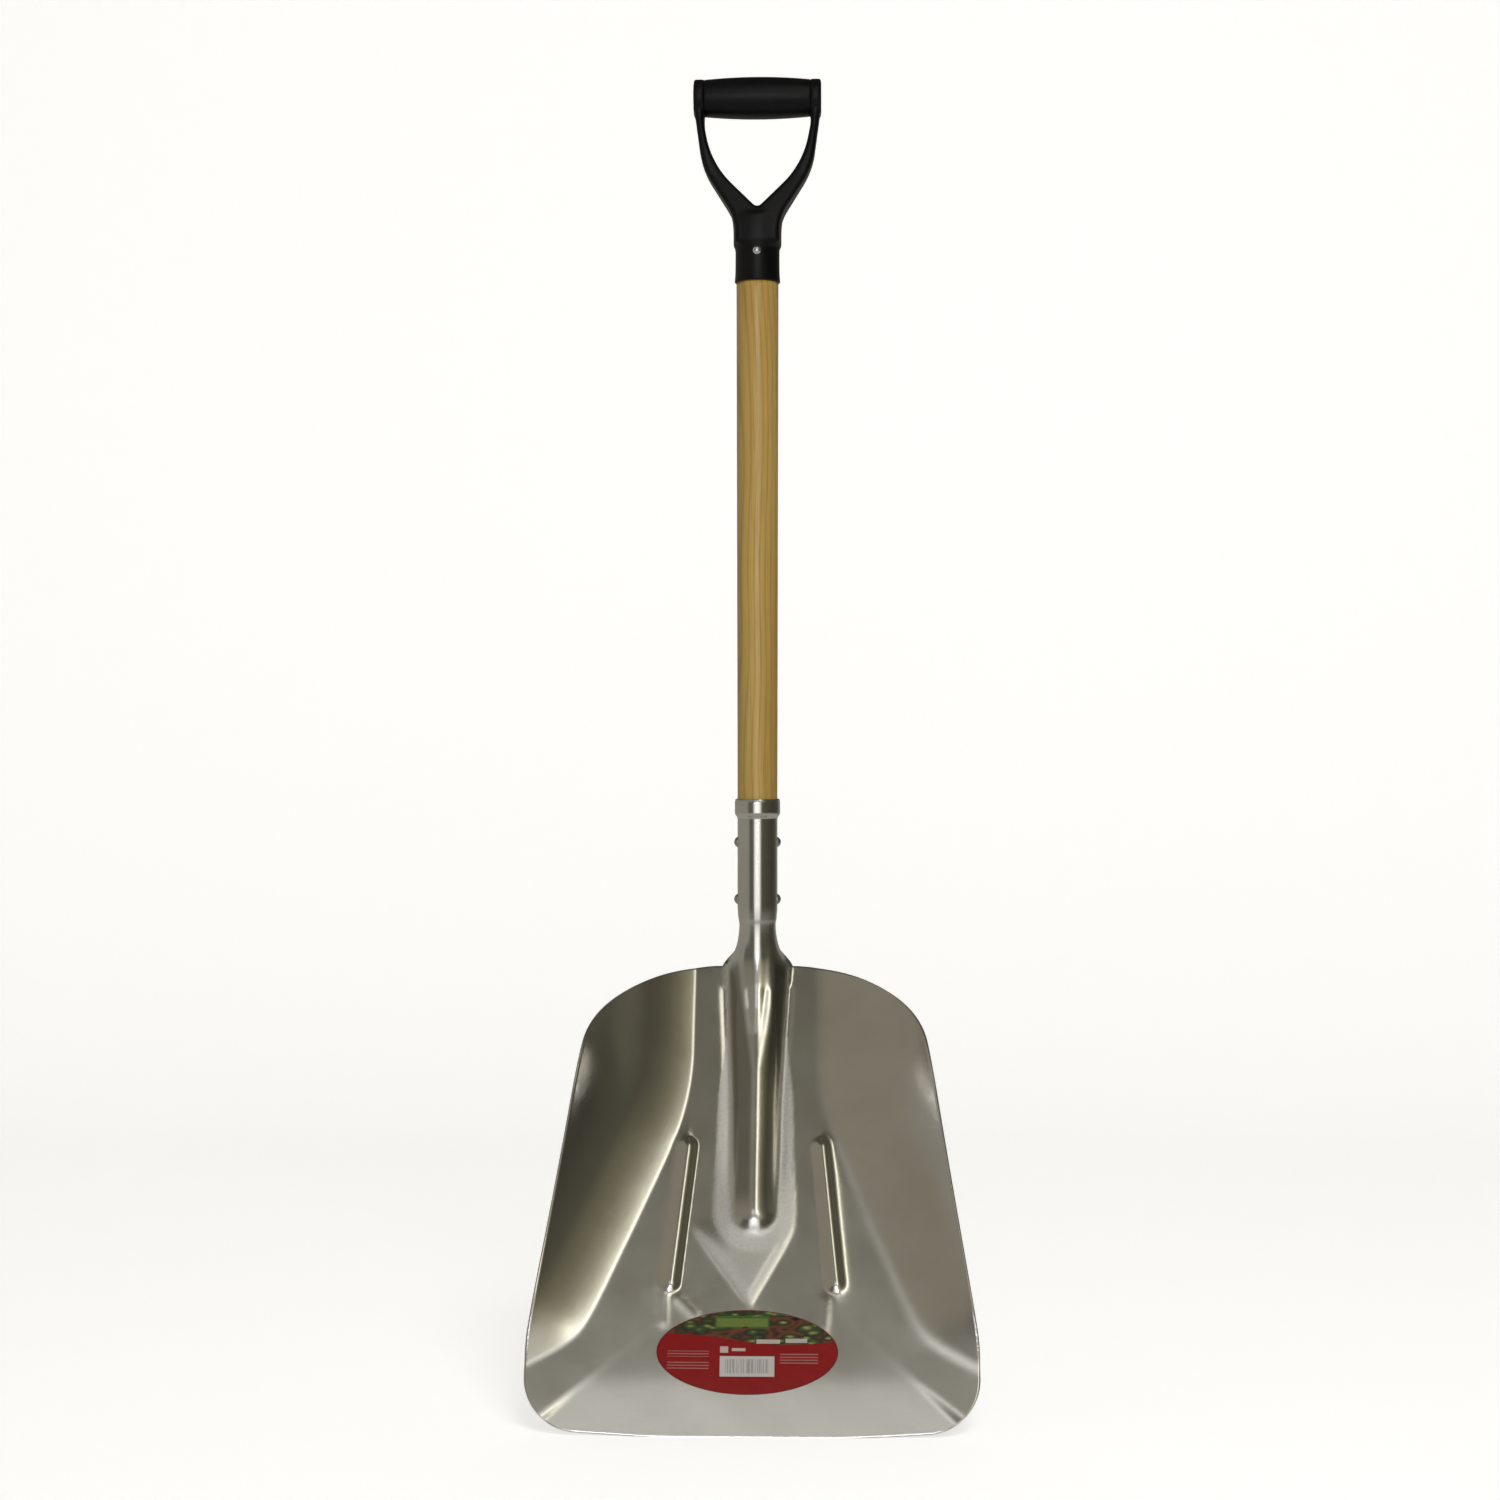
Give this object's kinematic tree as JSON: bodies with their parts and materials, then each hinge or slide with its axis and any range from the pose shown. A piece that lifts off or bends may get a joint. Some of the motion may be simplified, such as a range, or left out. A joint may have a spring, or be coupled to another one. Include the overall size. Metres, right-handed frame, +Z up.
{
  "type": "snow shovel",
  "caption": "Pressed aluminium scoop with a ridged floor and rolled side walls, on a straight wooden shaft with a moulded D-grip, for lifting snow or loose bulk material.",
  "frame": {"origin": "centre of the cutting edge, at mid thickness of the sheet", "axes": "+Z up, parallel to the shaft and its axis of length; +X to the right as seen from the open face of the scoop; the open face looks along -Y, and the floor of the scoop rises backwards at 30 degrees from the shaft"},
  "size_m": [0.379, 0.2281, 1.1712],
  "materials": {
    "scoop_aluminium": "as-rolled, lightly brushed sheet",
    "label": "printed glossy sticker",
    "shaft_ash": "clear lacquered, grain along the shaft",
    "socket_rivet_metal": "dull domed heads",
    "grip_plastic": "moulded, satin",
    "grip_rivet_steel": "bright plated"
  },
  "bodies": {
    "root": {"scoop_blade": "scoop_aluminium", "product_label": "label", "handle_shaft": "shaft_ash", "socket_rivet_lower": "socket_rivet_metal", "socket_rivet_upper": "socket_rivet_metal", "grip_yoke": "grip_plastic", "grip_bar": "grip_plastic", "grip_rivet": "grip_rivet_steel"}
  },
  "joints": []
}
